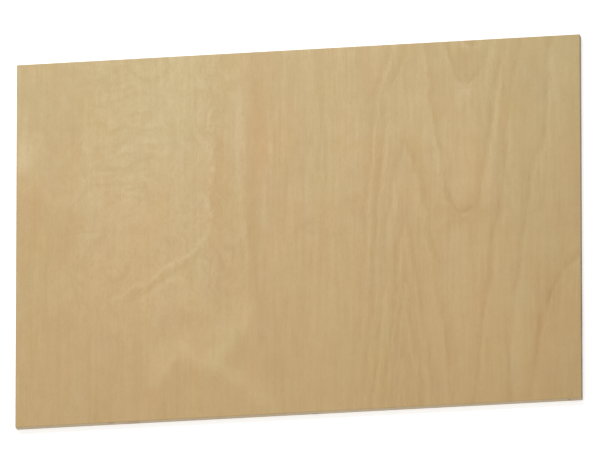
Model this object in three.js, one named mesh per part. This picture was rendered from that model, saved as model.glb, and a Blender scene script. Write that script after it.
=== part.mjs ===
// Plywood sheet: one bare, sanded panel of birch plywood, lying flat on its back.
//
// Millimetres. X runs along the sheet's length, Y along its width, which is also the way the face
// grain runs, and Z through its thickness. The origin is the middle of the underside.

import * as THREE from 'three';

const sheetLength = 600;
const sheetWidth = 400;
const sheetThickness = 9;

const arrisEase = 0.4; // sanding takes this much off every sharp edge, along both faces of it
const arrisSteps = 2; // flats that the eased edge is made of
const cornerRadius = 0.9; // the four upright corners are rubbed over a little more
const cornerSteps = 3; // flats round each corner

// The sheet seen from above, with its four corners rounded.
function sheetOutline() {
  const x = sheetLength / 2 - cornerRadius;
  const y = sheetWidth / 2 - cornerRadius;
  const quarter = Math.PI / 2;
  const outline = new THREE.Shape();
  outline.absarc(x, y, cornerRadius, 0, quarter);
  outline.absarc(-x, y, cornerRadius, quarter, 2 * quarter);
  outline.absarc(-x, -y, cornerRadius, 2 * quarter, 3 * quarter);
  outline.absarc(x, -y, cornerRadius, 3 * quarter, 4 * quarter);
  outline.closePath();
  return outline;
}

// The outline raised to the sheet's thickness. The easing cuts into the outline and into both faces,
// so that the sheet keeps its full length, width and thickness.
function easedSheet() {
  const sheet = new THREE.ExtrudeGeometry(sheetOutline(), {
    depth: sheetThickness - 2 * arrisEase,
    bevelEnabled: true,
    bevelThickness: arrisEase,
    bevelSize: arrisEase,
    bevelOffset: -arrisEase,
    bevelSegments: arrisSteps,
    curveSegments: cornerSteps,
  });
  sheet.translate(0, 0, arrisEase);
  return sheet;
}

const bareBirch = new THREE.MeshStandardMaterial({ color: 0xdcc59a, roughness: 0.62, metalness: 0 });

const plywoodSheet = new THREE.Mesh(easedSheet(), bareBirch);
plywoodSheet.name = 'plywood_sheet';

const part = new THREE.Group();
part.add(plywoodSheet);

export default part;
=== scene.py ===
import math

import bpy
from mathutils import Matrix, Vector


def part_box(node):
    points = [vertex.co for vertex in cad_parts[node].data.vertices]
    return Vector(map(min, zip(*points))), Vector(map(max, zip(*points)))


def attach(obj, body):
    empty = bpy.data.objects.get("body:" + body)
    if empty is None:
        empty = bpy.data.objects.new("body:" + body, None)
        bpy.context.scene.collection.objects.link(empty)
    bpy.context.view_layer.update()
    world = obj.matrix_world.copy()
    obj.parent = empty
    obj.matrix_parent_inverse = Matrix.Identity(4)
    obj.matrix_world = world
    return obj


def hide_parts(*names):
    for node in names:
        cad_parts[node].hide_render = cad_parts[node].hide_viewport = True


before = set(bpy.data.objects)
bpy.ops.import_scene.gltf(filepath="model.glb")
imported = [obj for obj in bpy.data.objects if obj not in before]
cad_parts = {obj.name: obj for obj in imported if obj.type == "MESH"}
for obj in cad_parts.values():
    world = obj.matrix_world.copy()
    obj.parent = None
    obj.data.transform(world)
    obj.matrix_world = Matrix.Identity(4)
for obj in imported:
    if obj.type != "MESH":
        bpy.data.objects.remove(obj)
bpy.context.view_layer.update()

cadLow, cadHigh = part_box("plywood_sheet")
sheetSize = cadHigh - cadLow
mm = 0.001


class Wire:
    # One output of a node, in any node tree. Arithmetic on wires adds Math nodes.
    def __init__(self, tree, socket=None):
        self.tree = tree
        self.socket = socket

    def node(self, kind, settings=None, values=None, out=0):
        made = self.tree.nodes.new(kind)
        for name, value in (settings or {}).items():
            setattr(made, name, value)
        for name, value in (values or {}).items():
            if isinstance(value, Wire):
                self.tree.links.new(value.socket, made.inputs[name])
            else:
                made.inputs[name].default_value = value
        return Wire(self.tree, made.outputs[out])

    def math(self, operation, *others):
        values = dict(enumerate((self, *others)))
        return self.node("ShaderNodeMath", {"operation": operation}, values)

    def backwards(self, operation, first):
        # for a plain number to the left of the sign
        return self.node("ShaderNodeMath", {"operation": operation}, {0: first, 1: self})

    def __add__(self, other):
        return self.math("ADD", other)

    def __sub__(self, other):
        return self.math("SUBTRACT", other)

    def __mul__(self, other):
        return self.math("MULTIPLY", other)

    def __truediv__(self, other):
        return self.math("DIVIDE", other)

    def __neg__(self):
        return self.math("MULTIPLY", -1)

    def __abs__(self):
        return self.math("ABSOLUTE")

    def __gt__(self, other):
        return self.math("GREATER_THAN", other)

    def __lt__(self, other):
        return self.math("LESS_THAN", other)

    def __radd__(self, other):
        return self.backwards("ADD", other)

    def __rsub__(self, other):
        return self.backwards("SUBTRACT", other)

    def __rmul__(self, other):
        return self.backwards("MULTIPLY", other)

    def __rtruediv__(self, other):
        return self.backwards("DIVIDE", other)

    def vector(self, operation, *others):
        values = dict(enumerate((self, *others)))
        return self.node("ShaderNodeVectorMath", {"operation": operation}, values)

    def axes(self):
        split = self.node("ShaderNodeSeparateXYZ", None, {0: self})
        return [Wire(self.tree, s) for s in split.socket.node.outputs]


def joined(x, y, z):
    one = next(w for w in (x, y, z) if isinstance(w, Wire))
    return one.node("ShaderNodeCombineXYZ", None, {0: x, 1: y, 2: z})


def spread(value, fromLow, fromHigh, low, high, shape="LINEAR"):
    # value between two limits, carried over to two others and held there
    numbers = {0: value, 1: fromLow, 2: fromHigh, 3: low, 4: high}
    return value.node("ShaderNodeMapRange", {"interpolation_type": shape, "clamp": True}, numbers)


def swell(value, fromLow, fromHigh, low=0.0, high=1.0):
    # the same with a soft start and end; fromLow may be the larger one
    return spread(value, fromLow, fromHigh, low, high, "SMOOTHSTEP")


def within(value, start, full, fading, end):
    # 1 from full to fading, and nothing before start or past end
    return swell(value, start, full) * swell(value, end, fading)


def bell(value):
    # 1 where value is 0, and soon nothing on either side
    return (-(value * value)).math("EXPONENT")


def peak(value, blunt):
    # like bell, but it comes to a point, which blunt rounds over
    return (blunt - (value * value + blunt * blunt).math("SQRT")).math("EXPONENT")


def lineAt(x, y, atX, atY, slope):
    # how far above a sloping line, square to it
    return (y - atY - (x - atX) * slope) / math.hypot(1, slope)


def cloud(place, size, detail=2.0, roughness=0.5, shift=0.0, twist=0.0):
    # soft noise about 0, whose patches measure about size along X, Y and Z
    scaled = place.vector("DIVIDE", size).vector("ADD", (shift, shift * 0.7, shift * 0.3))
    numbers = {"Vector": scaled, "Scale": 1.0, "Detail": detail, "Roughness": roughness}
    numbers["Distortion"] = twist
    return place.node("ShaderNodeTexNoise", {"noise_dimensions": "3D"}, numbers) - 0.5


# The camera looks down on the sheet, tipped towards its lower right corner.

cameraView = {
    "tilt": 20.53,  # degrees off straight down
    "towards": -62.49,  # degrees from +X, the way the camera leans
    "lens": 1250.0,  # so long that the sheet's sides stay parallel
    "frameWidth": 0.6283,  # metres across the picture at the sheet
    "aside": (0.0024, -0.0020),  # metres from the sheet's middle to the picture's, right and up
}


def makeCamera(view):
    tilt = math.radians(view["tilt"])
    towards = math.radians(view["towards"])
    lean = math.sin(tilt)
    back = Vector((lean * math.cos(towards), lean * math.sin(towards), math.cos(tilt)))
    right = Vector((0, 1, 0)).cross(back).normalized()
    up = back.cross(right)
    data = bpy.data.cameras.new("sheetCamera")
    data.lens = view["lens"]
    distance = view["frameWidth"] * data.lens / data.sensor_width
    middle = (cadLow + cadHigh) / 2
    middle.z = cadHigh.z
    aim = middle + right * view["aside"][0] + up * view["aside"][1]
    camera = bpy.data.objects.new("sheetCamera", data)
    turn = Matrix((right, up, back)).transposed().to_4x4()
    camera.matrix_world = Matrix.Translation(aim + back * distance) @ turn
    data.clip_end = distance * 2
    bpy.context.collection.objects.link(camera)
    bpy.context.scene.camera = camera


makeCamera(cameraView)
print("camera placed")


# The lay-up: seven veneers, crossed in turn, and how its worked edges are shaped.

board = {
    "rowGap": 3.0 * mm,  # between the rows of points on the faces
    "coreVeneer": 1.34 * mm,  # the five inner ones; the two outer ones share what is left
    "glueLine": 0.10 * mm,
    "glueDepth": 0.05 * mm,  # how far a glue line is sunk
    "arris": 0.45 * mm,
    "step": 0.07 * mm,  # how far one veneer may stand back from the next
    "waviness": 0.03 * mm,  # how far the show face dips
}
outerPly = 3  # veneers from the middle one to the face
plyRows = 4  # rows of points through an inner veneer
rowsThrough = 29  # fourteen rows of points each side of the middle one
edgeRows = 3  # past the even rows of a face: one close to the arris, and two round it


# The wood. From here to the end of the sawn edges, places and sizes are in millimetres from the middle of
# the sheet: x to the right, y up and along the grain of the faces, z from the underside.

right = sheetSize.x / 2 / mm
top = sheetSize.y / 2 / mm

birch = {
    "pale": (0.590, 0.402, 0.163),
    "contrast": 1.12,
    "warmth": (0.70, 1.06, 1.68),  # how much red, green and blue each give way where the wood darkens
    "hue": 0.13,  # how far it shifts between red and green
    "gold": 0.18,  # and between yellow and blue
    "ringLine": 0.055,
    "ringGlow": 0.024,  # the pale side of a ring
    "fibre": 0.145,
    "pores": 0.085,
    "curl": 0.190,  # fibres that turn and cross
    "mottle": 0.120,
    "roughness": (0.33, 0.43),  # where the wood is pale, and where it is dark
    "bump": 0.04 * mm,
}

backBirch = {
    "pale": (0.520, 0.352, 0.150),
    "contrast": 1.0,
    "warmth": (0.74, 1.0, 1.40),
    "hue": 0.12,
    "gold": 0.08,
    "ringLine": 0.070,
    "ringGlow": 0.030,
    "fibre": 0.17,
    "pores": 0.10,
    "curl": 0.060,
    "mottle": 0.090,
    "roughness": (0.44, 0.56),
    "bump": 0.05 * mm,
}

# where the show face's figure lies
figure = {
    "cathedralAt": 113,  # pointed rings, one inside the other
    "cathedralTop": 140,
    "cathedralRings": 4.4,
    "cathedralWidth": (18, 24),  # to the left and right of their middle
    "tongueAt": 173,  # rounded rings, which hang down to the right of them
    "tongueWidth": 33,
    "curlSide": -99,  # the curl's right side
    "curlUnder": (-181, -57),  # a point on its lower side
    "archFoot": -157,  # the pale arch below the curl
    "archHumps": ((-124, 22, 30), (-50, 36, 62), (-168, 16, 6)),  # x, half width and height of each
    "archEnd": (-97, -138),
    "crossFibres": (-182, 105),  # the middle of the place where fibres lie across the sheet
    "streak": -62,  # long and pale
    "shade": -45,  # the dark bands to its right and left
    "innerShade": -80,
    "crest": 181,  # a rippled dark line at the head of the curl
    "wedge": (-290, 60),  # darker wood down the left side, below a slope through this point
}

# paler or darker places in the show face: x, y, half width, half length, how much
showPatches = (
    (-160, 100, 74, 120, 0.027),  # the broad curl, and what lies in it
    (-100, 80, 40, 60, -0.008),
    (-84, 52, 12, 22, -0.032),
    (-45, 30, 16, 90, -0.030),
    (-122, -66, 30, 22, 0.030),
    (-300, 210, 190, 190, -0.060),  # the corners and sides
    (150, 170, 90, 50, -0.018),
    (280, 200, 110, 100, -0.022),
    (310, 60, 80, 300, -0.064),
    (225, -192, 60, 22, -0.022),
    (-290, 99, 16, 20, 0.072),  # down the left side
    (-262, 118, 30, 76, -0.018),
    (-236, 150, 7, 60, -0.022),
    (-284, 40, 10, 34, -0.020),
    (-236, 14, 18, 22, -0.028),
    (-270, -115, 48, 66, -0.034),
    (-205, -185, 15, 42, -0.050),
    (-168, -158, 7, 24, -0.036),
    (-138, -192, 16, 30, -0.032),
    (-116, -92, 14, 12, -0.030),
    (30, 30, 190, 170, -0.024),  # the straight grain in the middle
    (10, 180, 110, 60, -0.022),
    (-34, 150, 17, 50, -0.034),
    (-6, 176, 14, 20, -0.026),
    (-6, 72, 13, 36, -0.036),
    (4, 4, 9, 4, -0.036),
    (17, 9, 9, 4, -0.036),
    (30, -90, 14, 80, 0.024),
    (-4, -140, 16, 30, -0.024),
    (56, 28, 10, 10, -0.030),
    (66, 180, 16, 30, -0.036),
    (118, 62, 8, 26, -0.020),  # among the rings
    (178, 176, 14, 18, -0.080),
    (176, 140, 10, 9, 0.030),
    (176, 70, 15, 60, 0.016),
    (178, 10, 24, 13, -0.082),
    (180, -24, 26, 18, -0.014),
    (176, -78, 16, 66, 0.026),
    (242, 150, 14, 36, -0.026),
    (264, 60, 14, 100, 0.018),
    (222, -30, 12, 40, -0.016),
    (230, -116, 16, 60, 0.036),
    (262, -95, 12, 34, -0.034),
    (276, 150, 16, 46, 0.032),
    (262, -60, 26, 18, -0.028),
    (272, 10, 34, 36, -0.022),
    (268, -84, 10, 8, -0.034),
    (292, -190, 30, 30, -0.026),
)

# redder places above 0 and greener ones below, in the same terms
showHues = (
    (-280, 190, 120, 110, -0.040),
    (290, 190, 100, 110, -0.038),
    (-148, 148, 46, 74, -0.054),
    (-42, 120, 15, 110, 0.046),
    (-84, 20, 14, 60, 0.026),
    (-285, 40, 24, 40, 0.030),
    (-210, -60, 14, 60, 0.020),
    (100, 80, 30, 20, 0.020),
    (176, 10, 16, 12, 0.022),
    (180, 172, 16, 16, 0.024),
    (-236, 10, 20, 30, 0.024),
    (240, -60, 12, 160, -0.026),
    (272, -90, 12, 46, 0.020),
    (266, 50, 50, 70, -0.028),
    (290, -150, 50, 50, -0.024),
)

# the back's pin knots and cloudy places
backPatches = (
    (-150, 60, 5, 7, -0.20),
    (96, -118, 4, 6, -0.22),
    (214, 92, 3, 5, -0.18),
    (-40, 130, 60, 70, 0.035),
    (180, -40, 50, 90, -0.030),
    (-230, -120, 60, 60, -0.035),
)
backHues = (
    (-120, 40, 80, 150, 0.020),
    (150, -60, 60, 180, -0.024),
)


def showRings(x, y):
    # how many growth rings the knife has crossed; a line shows at each half ring
    narrow, broad = figure["cathedralWidth"]
    fromMiddle = x - figure["cathedralAt"]
    rise = spread(y, -top, figure["cathedralTop"], figure["cathedralRings"], -0.20)
    cathedral = rise * peak(fromMiddle / spread(fromMiddle, -8, 8, narrow, broad), 0.07)
    hang = swell(y, -34, 46, 0.10, 0.90) + spread(y, 46, 148, 0, 0.50) + spread(y, 148, top, 0, 1.2)
    aside = x - figure["tongueAt"] - swell(y, 80, top, 0, 9)
    tongue = hang * bell(aside / figure["tongueWidth"])
    # single rings up the right side, one round the lower right corner, and those to the left of them all
    firstClimb = swell(x - y * 0.07 - swell(y, 35, 100, 0, 15), 214, 258, 0, 1.15)
    lastClimb = swell(x - y * 0.10, 186, 226, 0, 0.85)
    corner = swell(x - ((y + 47) / 45).math("EXPONENT") * 46, 228, 266)
    drop = swell(x - y * 0.06 - swell(y, 140, 195, 0, 12), 100, 60, 0, 2) + swell(x, 60, -70, 0, 4)
    return cathedral - tongue + firstClimb + lastClimb + corner - drop


def backRings(x, y):
    # two plain cathedrals side by side, over rings that climb steadily to the right
    standing = spread(y, -top, top, 3.6, 0.4) * bell((x + 130) / 95)
    hanging = spread(y, -top, top, 0.6, 2.8) * bell((x - 150) / 70)
    apart = 70  # between the steady rings
    return standing - hanging + x / apart


def showZones(x, y):
    # how clearly the rings show, and how far the wood is curled
    left = swell(x, -30, -90)
    straight = within(x, -70, -40, 60, 84)
    curled = left * swell(y, -150, -30, 0.30, 1.0) * swell(x, -262, -226, 0.35, 1.0)
    return 1 - straight * 0.72 - left * 0.85, curled


def backZones(x, y):
    return swell(x, -260, -150, 0.4, 0.9), swell(x, 60, 240, 0.1, 0.4)


def patches(x, y, places):
    # all the patches of a table, each a soft oval
    tone = 0.0
    for atX, atY, wide, long, strength in places:
        across = (x - atX) / wide
        up = (y - atY) / long
        tone = (-(across * across + up * up)).math("EXPONENT") * strength + tone
    return tone


def curlSeam(x, y, wobble, strength):
    # the pale line down the curl's right side and back along its underside, with a second one below
    side = y * 0.045 + figure["curlSide"] - x + wobble
    under = lineAt(x, y, *figure["curlUnder"], 0.62) + wobble
    curl = side.math("SMOOTH_MIN", under, 26.0)
    lit = swell(y, 120, 30) * swell(x, -208, -176)
    seam = bell((curl + 1.5) / 3.2) * 0.066 * lit - bell((curl + 8) / 5) * 0.024 * swell(x, -204, -176)
    second = within(x, -192, -166, -126, -108) * swell(y, 0, -16)
    below = bell((curl + 18) / 3.4) * 0.046 - bell((curl + 11) / 3.6) * 0.030
    return (seam + below * second) * strength


def lightArch(x, y, loose, tight, steady):
    # a pale line over low humps, and the band that falls away from it to the right
    humps = 0.0
    for atX, wide, high in figure["archHumps"]:
        humps = bell((x - atX) / wide) * high + humps
    arch = y - figure["archFoot"] - humps + loose * 1.5 + tight * 12
    glow = bell(arch / 11) * 0.078 + bell((arch - 16) / 14) * 0.040 - bell((arch + 26) / 16) * 0.024
    fall = lineAt(x, y, *figure["archEnd"], -0.68) + (loose + tight * 14) * 1.16
    band = bell(fall / 9) * 0.074 * within(x, -104, -84, -40, -12)
    return (glow * within(x, -178, -148, -62, -34) + band) * steady


def streaks(x, y, wobble, steady):
    # a long pale streak, with dark bands on both sides of it
    lean = x - figure["streak"] - bell((y + 40) / 60) * 8 + wobble * 0.3
    pale = bell(lean / 3.4) * 0.042 * within(y, -60, -20, 90, 190)
    shade = x - figure["shade"] + bell((y - 60) / 55) * 8 - swell(y, -40, -190, 0, 22) + wobble * 0.5
    dark = bell(shade / 7.5) * 0.034 * swell(y, -196, -150)
    inner = x - figure["innerShade"] - wobble * 0.6
    return (pale - dark - bell(inner / 8) * 0.026 * within(y, -110, -40, 90, 140)) * steady


def showMarks(x, y, place):
    # what the knife brought out in the left half of the sheet
    loose = cloud(place, (30, 30, 30), detail=1.0, shift=30.2) * 18
    tight = cloud(place, (8, 8, 8), detail=4.0, roughness=0.65, shift=12.1)
    wobble = loose + tight * 14
    strength = cloud(place, (11, 11, 11), detail=3.0, shift=17.3) * 4.0 + 0.90
    steady = strength * 0.4 + 0.65
    tone = curlSeam(x, y, wobble, strength) + lightArch(x, y, loose, tight, steady)
    tone = tone + streaks(x, y, wobble, steady)

    ripple = ((x + 187) / 9.5).math("COSINE") * 7.5
    crest = y - figure["crest"] - ripple + wobble * 1.1
    tone = tone - bell(crest / 3.5) * 0.032 * within(x, -262, -236, -138, -118) * strength

    wedgeX, wedgeY = figure["wedge"]
    wedge = swell(y - wedgeY + (x - wedgeX) * 0.80 + wobble * 2.2, 16, -16)
    wedge = wedge * swell(y, -110, 30) * swell(x + wobble * 1.4, -222, -256)
    return tone - wedge * 0.038


def curlFibres(x, y, place):
    # fibres that turn and cross the sheet inside the curl
    turn = cloud(place, (38, 42, 38), detail=1.5, shift=41.7) * 100
    turn = turn + cloud(place, (12, 14, 12), shift=23.9) * 30
    turned = joined(x + turn, y * 0.5 + turn * 0.3, 0.0)
    strands = cloud(turned, (7, 26, 1), detail=3.0, roughness=0.65, shift=3.7)
    lying = joined(x * 0.25 + turn * 0.1, y + turn * 0.35, 0.0)
    across = cloud(lying, (8, 7, 1), detail=4.0, roughness=0.65, shift=8.8)
    crossX, crossY = figure["crossFibres"]
    crossing = bell((x - crossX) / 50) * bell((y - crossY) / 95)
    return strands * (1 - crossing * 0.7) + across * crossing * 1.2


def ringLines(x, y, place, ringsAt):
    # the dark line at each ring, and the pale glow beside it, at an even width however steep the rings are
    sway = cloud(place, (50, 120, 50), detail=3.0, shift=3.1)
    jitter = cloud(place, (8, 22, 8), detail=4.0, roughness=0.6, shift=4.4)
    ringX = x + sway * 20 + jitter * 10
    ringY = y + sway * 34 + cloud(place, (12, 20, 12), shift=2.3) * 16
    rings = ringsAt(ringX, ringY)
    aside = 2  # the slope is taken over this distance
    slopeX = (ringsAt(ringX + aside, ringY) - rings) / aside
    slopeY = (ringsAt(ringX, ringY + aside) - rings) / aside
    shallowest = 0.012  # rings for each millimetre; on ground that is flatter still, the lines broaden
    steep = (slopeX * slopeX + slopeY * slopeY).math("SQRT").math("MAXIMUM", shallowest)
    rings = rings + cloud(place, (30, 90, 30), shift=8.4) * 0.30
    past = ((rings - rings.math("FLOOR")) - 0.5) / steep
    line = bell(past / 3.0) + bell((past + 4.5) / 6.0) * 0.40
    return line, bell((past - 5.0) / 3.4)


def paint(shader, tone, hue, look, gold=0.0):
    # darker wood is also warmer; a hue above 0 is redder, and gold above 0 is yellower
    tone = tone * look["contrast"]
    red, green, blue = look["warmth"]
    weight = joined(tone * red + hue * 0.5, tone * green - hue * 0.4, tone * blue - hue * 0.5 - gold)
    colour = weight.vector("MULTIPLY_ADD", look["pale"], look["pale"])
    tone.tree.links.new(colour.socket, shader.inputs["Base Color"])
    polished, coarse = look["roughness"]
    rough = spread(tone, -0.06, 0.06, coarse, polished)
    tone.tree.links.new(rough.socket, shader.inputs["Roughness"])


def emboss(shader, height, depth, strength=0.6):
    bump = height.node("ShaderNodeBump", None, {"Strength": strength, "Distance": depth, "Height": height})
    height.tree.links.new(bump.socket, shader.inputs["Normal"])


def newMaterial(name):
    material = bpy.data.materials.new(name)
    material.use_nodes = True
    tree = material.node_tree
    coordinates = Wire(tree).node("ShaderNodeTexCoord", out=3)  # the object's own, in metres
    return material, tree.nodes["Principled BSDF"], coordinates.vector("DIVIDE", (mm, mm, mm))


def faceVeneer(name, look, ringsAt, zonesAt, places, hues, marks=None):
    material, shader, place = newMaterial(name)
    x, y = place.axes()[:2]
    line, glow = ringLines(x, y, place, ringsAt)
    clear, curled = zonesAt(x, y)
    faint = cloud(place, (9, 34, 9), detail=3.0, roughness=0.6, shift=7.7) * 3.6 + 0.90
    tone = (glow * look["ringGlow"] - line * look["ringLine"]) * clear * faint

    pores = swell(cloud(place, (0.42, 4.5, 0.42), detail=1.0, shift=27.3), 0.08, 0.22)
    fine = cloud(place, (1.7, 40, 1.7), detail=3.0, roughness=0.6, shift=5.2)
    middle = cloud(place, (4.5, 80, 4.5), detail=3.0, shift=2.9)
    wide = cloud(place, (18, 200, 18), detail=1.0, shift=6.6)
    patchy = cloud(place, (30, 44, 30), shift=14.6) * 2.6 + 0.9
    fibres = (fine * 0.6 + middle) * patchy + wide * 0.3
    tone = tone + fibres * look["fibre"] * (1 - curled * 0.45) - pores * look["pores"]
    tone = tone + curlFibres(x, y, place) * (curled * 0.9 + 0.1) * look["curl"]
    tone = tone + cloud(place, (11, 17, 11), detail=4.0, roughness=0.65, shift=19.9) * look["mottle"]

    waves = cloud(place, (44, 26, 44), detail=4.0, roughness=0.6, shift=9.3, twist=0.9)
    tone = tone + patches(x + waves * 30, y + waves * 60, places)
    if marks:
        tone = tone + marks(x, y, place)

    # redder towards the bottom, greener towards the top, and bluer along the right
    hue = cloud(place, (34, 90, 34), detail=3.0, shift=21.3) * look["hue"]
    hue = hue + swell(y, -140, 20, 0.020, 0.0) + swell(y, 20, 190, 0.0, -0.045)
    hue = hue + patches(x + waves * 30, y + waves * 60, hues)
    gold = cloud(place, (24, 60, 24), shift=33.8) * look["gold"] - swell(x, 190, right) * 0.030
    paint(shader, tone, hue, look, gold)
    emboss(shader, fine + middle * 0.5 - line * clear * 0.2 - pores * 0.5, look["bump"])
    return material


# The sawn edges. Each veneer shows its fibres or its cut ends.

longEdge = {
    "pale": (0.590, 0.485, 0.330),
    "contrast": 1.0,
    "warmth": (0.75, 1.0, 1.25),
    "cutEnds": -0.20,  # veneers whose fibres end at this edge are darker
    "glue": -0.50,
    "fibre": 0.30,
    "pores": 0.55,
    "burn": 0.20,  # from the saw
    "gap": 0.74,  # painted shade: how dark a hollow in an inner veneer is painted, for the shade inside it
    "roughness": (0.62, 0.80),
    "bump": 0.10 * mm,
}

# The end edges: their darker, greyer colour is painted shade, for the shade they lie in; the wood itself is
# no darker at its ends.
endEdgePaintedShade = {
    "pale": (0.300, 0.255, 0.168),
    "contrast": 1.0,
    "warmth": (0.75, 1.0, 1.20),
    "cutEnds": -0.26,
    "glue": -0.52,
    "fibre": 0.30,
    "pores": 0.55,
    "burn": 0.24,
    # painted shade in the hollows, as on the long edges
    "gap": 0.74,
    "roughness": (0.62, 0.80),
    "bump": 0.10 * mm,
}


def sawnEdge(name, look, fibresAlongX):
    material, shader, place = newMaterial(name)
    x, y, z = place.axes()
    endPace = 0.37  # below 1, which draws out the marks on an end edge
    run = x + y * endPace  # the way along either kind of edge, as only x or only y changes on it
    along = joined(run, 0.0, 0.0)
    ground = joined(run, 0.0, z)
    veneer = board["coreVeneer"] / mm
    waver = 0.16  # millimetres, by which the veneers rise and dip
    height = z - sheetSize.z / 2 / mm + cloud(along, (70, 1, 1), detail=3.0, shift=2.2) * waver
    ply = (height / veneer).math("ROUND").math("MINIMUM", outerPly).math("MAXIMUM", -outerPly)
    crossed = abs(ply).math("MODULO", 2.0)
    cut = crossed if fibresAlongX else 1 - crossed
    offMiddle = abs(height / veneer - ply)  # 0 in the middle of a veneer, a half at its glue
    glueHalf = 0.07  # half the width of the stain at a glue line
    glue = bell((0.5 - offMiddle) * veneer / glueHalf) * (abs(height) < veneer * (outerPly - 0.25))

    own = joined(run, ply * 37, 0.0)
    plyTone = cloud(own, (160, 1, 1), detail=1.0, shift=4.9) * 0.22
    fibres = cloud(joined(run, ply * 11, z), (26, 1, 0.16), detail=3.0, roughness=0.6, shift=6.1)
    pores = cloud(ground, (0.30, 1, 0.22), detail=1.0, shift=1.4)
    rays = cloud(ground, (0.5, 1, 2.6), detail=2.0, shift=9.9)
    ends = (pores * 0.6 + rays * 0.5) * look["pores"] + look["cutEnds"]
    parted = cloud(joined(run, ply * 23, 0.0), (13, 1, 1), detail=1.0, shift=12.3)
    parted = parted + cloud(ground, (1.6, 1, 0.8), detail=3.0, shift=13.1) * 0.05
    # hollows in the inner veneers, painted dark below for the shade inside them, and dented in the bump
    gap = swell(parted, 0.230, 0.262) * swell(offMiddle, 0.50, 0.43) * (abs(ply) < outerPly - 0.5)
    burnt = swell(cloud(along, (34, 1, 1), detail=2.0, shift=15.8), 0.08, 0.26)
    saw = cloud(joined(run + z * 0.22, 0.0, 0.0), (0.9, 1, 1), detail=3.0, roughness=0.7, shift=7.4)

    tone = ends * cut + fibres * look["fibre"] * (1 - cut) + plyTone
    tone = tone + glue * look["glue"] - gap * look["gap"] - burnt * look["burn"] + saw * 0.10
    hue = cloud(own, (60, 1, 1), detail=1.0, shift=18.2) * 0.08 - gap * 0.20
    paint(shader, tone, hue, look, gap * -0.15)  # a gap is painted dark with shade, and hardly warmer than the wood
    relief = saw * 0.8 + pores * cut * 0.5 + fibres * (1 - cut) * 0.6 - glue * 0.4 - gap
    emboss(shader, relief, look["bump"], 0.8)
    return material


show = faceVeneer("showVeneer", birch, showRings, showZones, showPatches, showHues, showMarks)
back = faceVeneer("backVeneer", backBirch, backRings, backZones, backPatches, backHues)
longSide = sawnEdge("sawnLongEdge", longEdge, True)
# the end edges' material has painted shade in its darker colour
endSide = sawnEdge("sawnEndEdgePaintedShade", endEdgePaintedShade, False)
print("wood mixed")


# The board, in metres again. A block of points in rows is shaped into the seven veneers, with sunk glue
# lines between them and rounded arrises.


def stepped(row, gaps):
    # the place of a row, counted from the middle, where gaps gives (rows, distance for each)
    place = 0.0
    passed = 0
    for rows, gap in gaps:
        place = spread(row, passed, passed + rows, 0.0, gap * rows) + place
        passed += rows
    return place


def boardInputs(tree, faceNames):
    # the tree's named inputs; returns each one's identifier with the value to give it
    sizes = {
        "Length": sheetSize.x,
        "Width": sheetSize.y,
        "Thickness": sheetSize.z,
        "Core Veneer": board["coreVeneer"],
        "Glue Line": board["glueLine"],
        "Glue Depth": board["glueDepth"],
        "Arris": board["arris"],
        "Step": board["step"],
        "Waviness": board["waviness"],
        "Seed": 11.0,
    }
    extraRows = 2 * edgeRows + 1  # on both sides, and the middle one
    rows = {
        "Rows Along": 2 * round(sheetSize.x / board["rowGap"] / 2) + extraRows,
        "Rows Across": 2 * round(sheetSize.y / board["rowGap"] / 2) + extraRows,
    }
    groups = (("NodeSocketFloat", sizes), ("NodeSocketInt", rows), ("NodeSocketMaterial", faceNames))
    keys = {}
    for kind, values in groups:
        for name, value in values.items():
            socket = tree.interface.new_socket(name, in_out="INPUT", socket_type=kind)
            keys[socket.identifier] = value
    return keys


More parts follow.
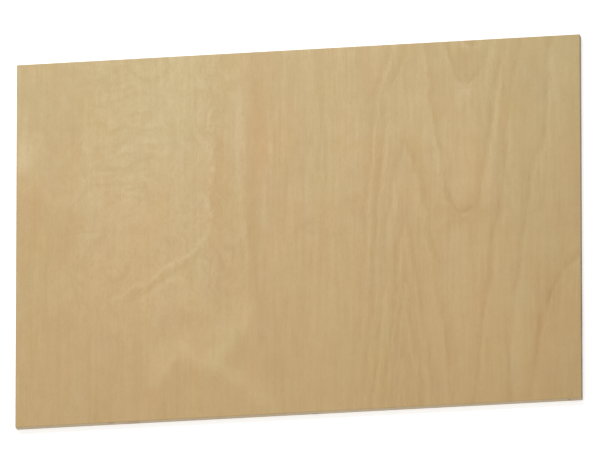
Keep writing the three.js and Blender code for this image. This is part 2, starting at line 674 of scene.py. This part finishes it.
def boardTree(faceNames):
    tree = bpy.data.node_groups.new("plywoodBoard", "GeometryNodeTree")
    keys = boardInputs(tree, faceNames)
    tree.interface.new_socket("Board", in_out="OUTPUT", socket_type="NodeSocketGeometry")
    group = tree.nodes.new("NodeGroupInput")
    take = {s.name: Wire(tree, s) for s in group.outputs if s.name}
    start = Wire(tree)  # for nodes that no other wire leads to

    along, across = take["Rows Along"], take["Rows Across"]
    arris, thick = take["Arris"], take["Thickness"]
    counts = {"Vertices X": along, "Vertices Y": across, "Vertices Z": rowsThrough}
    counts["Size"] = joined(along - 1, across - 1, rowsThrough - 1)
    lump = start.node("GeometryNodeMeshCube", None, counts)
    rowX, rowY, rowZ = start.node("GeometryNodeInputPosition").axes()

    def planRow(row, side, rows):
        # even rows over the face, one close to the arris, and two round it
        support = arris * 1.2
        half = (rows - 1) / 2 - edgeRows
        past = abs(row) - half
        inner = spread(abs(row), 0.0, half, 0.0, side / 2 - arris - support)
        outer = spread(past, 0.0, 1.0, 0.0, support) + spread(past, 1.0, edgeRows, 0.0, arris)
        return row.math("SIGN") * (inner + outer)

    glue = take["Glue Line"]
    halfCore = take["Core Veneer"] / 2
    face = thick / 2 - take["Core Veneer"] * 2.5
    core = [(1, glue), (2, halfCore - glue), (1, glue)]
    through = [(1, halfCore - glue), (1, glue)] + core + core
    through += [(1, glue), (1, face - glue - arris), (2, arris / 2)]
    x = planRow(rowX, take["Length"], along)
    y = planRow(rowY, take["Width"], across)
    z = rowZ.math("SIGN") * stepped(abs(rowZ), through)

    # the outer rows are pulled in to a round arris
    raw = joined(x, y, z)
    limit = joined(take["Length"] / 2 - arris, take["Width"] / 2 - arris, thick / 2 - arris)
    inside = raw.vector("MINIMUM", limit).vector("MAXIMUM", limit.vector("MULTIPLY", (-1, -1, -1)))
    out = raw.vector("SUBTRACT", inside).vector("NORMALIZE").vector("MULTIPLY", joined(arris, arris, arris))
    rounded = inside.vector("ADD", out)

    # each veneer stands back by its own amount, and the glue between them a little more
    level = abs(rowZ)
    ply = (level / plyRows).math("ROUND").math("MINIMUM", outerPly) * rowZ.math("SIGN")
    grooved = ((level + plyRows / 2).math("MODULO", plyRows) < 0.5) * (level < plyRows * outerPly)
    ground = joined(x / mm, y / mm, ply * 9 + take["Seed"])
    recess = (cloud(ground, (60, 60, 1), detail=3.0, roughness=0.6) + 0.5) * take["Step"]
    recess = recess + grooved * take["Glue Depth"]
    atEnd = spread(abs(x), take["Length"] / 2 - arris, take["Length"] / 2, 0.0, 1.0)
    atLong = spread(abs(y), take["Width"] / 2 - arris, take["Width"] / 2, 0.0, 1.0)
    onTop = rowZ > (rowsThrough - 2) / 2  # the uppermost row only
    wave = (cloud(ground, (90, 140, 1), detail=1.0, shift=4.4) + 0.5) * take["Waviness"] * onTop
    moveX = -(x.math("SIGN") * atEnd * recess)
    moveY = -(y.math("SIGN") * atLong * recess)
    position = rounded.vector("ADD", joined(moveX, moveY, thick / 2 - wave))
    shaped = start.node("GeometryNodeSetPosition", None, {"Geometry": lump, "Position": position})
    smooth = start.node("GeometryNodeSetShadeSmooth", None, {"Geometry": shaped})
    whole = start.node("GeometryNodeRealizeInstances", None, {"Geometry": smooth})

    normalX, normalY, normalZ = start.node("GeometryNodeInputNormal").axes()
    flat = 0.7  # faces nearer level than this belong to the show face or the back
    picks = {
        "Long Edge": True,
        "End Edge": abs(normalX) > abs(normalY),
        "Show Face": normalZ > flat,
        "Back Face": normalZ < -flat,
    }
    for name, pick in picks.items():
        values = {"Geometry": whole, "Selection": pick, "Material": take[name]}
        whole = start.node("GeometryNodeSetMaterial", None, values)
    output = tree.nodes.new("NodeGroupOutput")
    tree.links.new(whole.socket, output.inputs[0])
    return tree, keys


def makeBoard():
    faces = {"Show Face": show, "Back Face": back, "Long Edge": longSide, "End Edge": endSide}
    tree, keys = boardTree(faces)
    piece = bpy.data.objects.new("birch_plywood_board", bpy.data.meshes.new("birch_plywood_board"))
    bpy.context.collection.objects.link(piece)
    layup = piece.modifiers.new("layup", "NODES")
    layup.node_group = tree
    for identifier, value in keys.items():
        layup[identifier] = value
    made = piece.evaluated_get(bpy.context.evaluated_depsgraph_get())
    mesh = bpy.data.meshes.new_from_object(made)
    piece.modifiers.remove(layup)
    mesh.materials.pop(index=0)  # the empty slot that the starting block brings with it
    piece.data = mesh
    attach(piece, "root")
    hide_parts("plywood_sheet")
    print("board made,", len(mesh.polygons), "faces", [m.name for m in mesh.materials])


makeBoard()


# The floor and the light, in metres.

studio = {
    "floor": (0.92, 0.92, 0.92),
    "floorGlow": 0.51,  # with the light that falls on it, this makes the floor white
    "floorSide": 50.0,
    "sky": 0.52,
    "key": 13.6,  # watts
    "keyAt": (-0.36, 0.85, 1.5),
    "keyAim": (-0.1, 0.05, 0),
    "keySize": (1.1, 0.40),
}


def makeFloor():
    half = studio["floorSide"] / 2
    corners = [(-half, -half, 0), (half, -half, 0), (half, half, 0), (-half, half, 0)]
    mesh = bpy.data.meshes.new("floor")
    mesh.from_pydata(corners, [], [(0, 1, 2, 3)])
    material = bpy.data.materials.new("paleFloor")
    material.use_nodes = True
    shader = material.node_tree.nodes["Principled BSDF"]
    shader.inputs["Base Color"].default_value = (*studio["floor"], 1)
    shader.inputs["Roughness"].default_value = 0.9
    shader.inputs["Specular IOR Level"].default_value = 0.0
    shader.inputs["Emission Color"].default_value = (1, 1, 1, 1)
    shader.inputs["Emission Strength"].default_value = studio["floorGlow"]
    mesh.materials.append(material)
    floor = bpy.data.objects.new("floor", mesh)
    bpy.context.collection.objects.link(floor)


def makeSky():
    world = bpy.data.worlds.new("studio")
    world.use_nodes = True
    sky = world.node_tree.nodes["Background"]
    sky.inputs["Color"].default_value = (1, 1, 1, 1)
    sky.inputs["Strength"].default_value = studio["sky"]
    bpy.context.scene.world = world


def makeKeyLight():
    data = bpy.data.lights.new("key", "AREA")
    data.shape = "RECTANGLE"
    data.size, data.size_y = studio["keySize"]
    data.energy = studio["key"]
    lamp = bpy.data.objects.new("key", data)
    lamp.location = studio["keyAt"]
    lamp.rotation_mode = "QUATERNION"
    away = Vector(studio["keyAt"]) - Vector(studio["keyAim"])
    lamp.rotation_quaternion = away.to_track_quat("Z", "Y")
    lamp.visible_camera = False
    bpy.context.collection.objects.link(lamp)


makeFloor()
makeSky()
makeKeyLight()
bpy.context.scene.view_settings.view_transform = "Standard"
print("floor and light set")
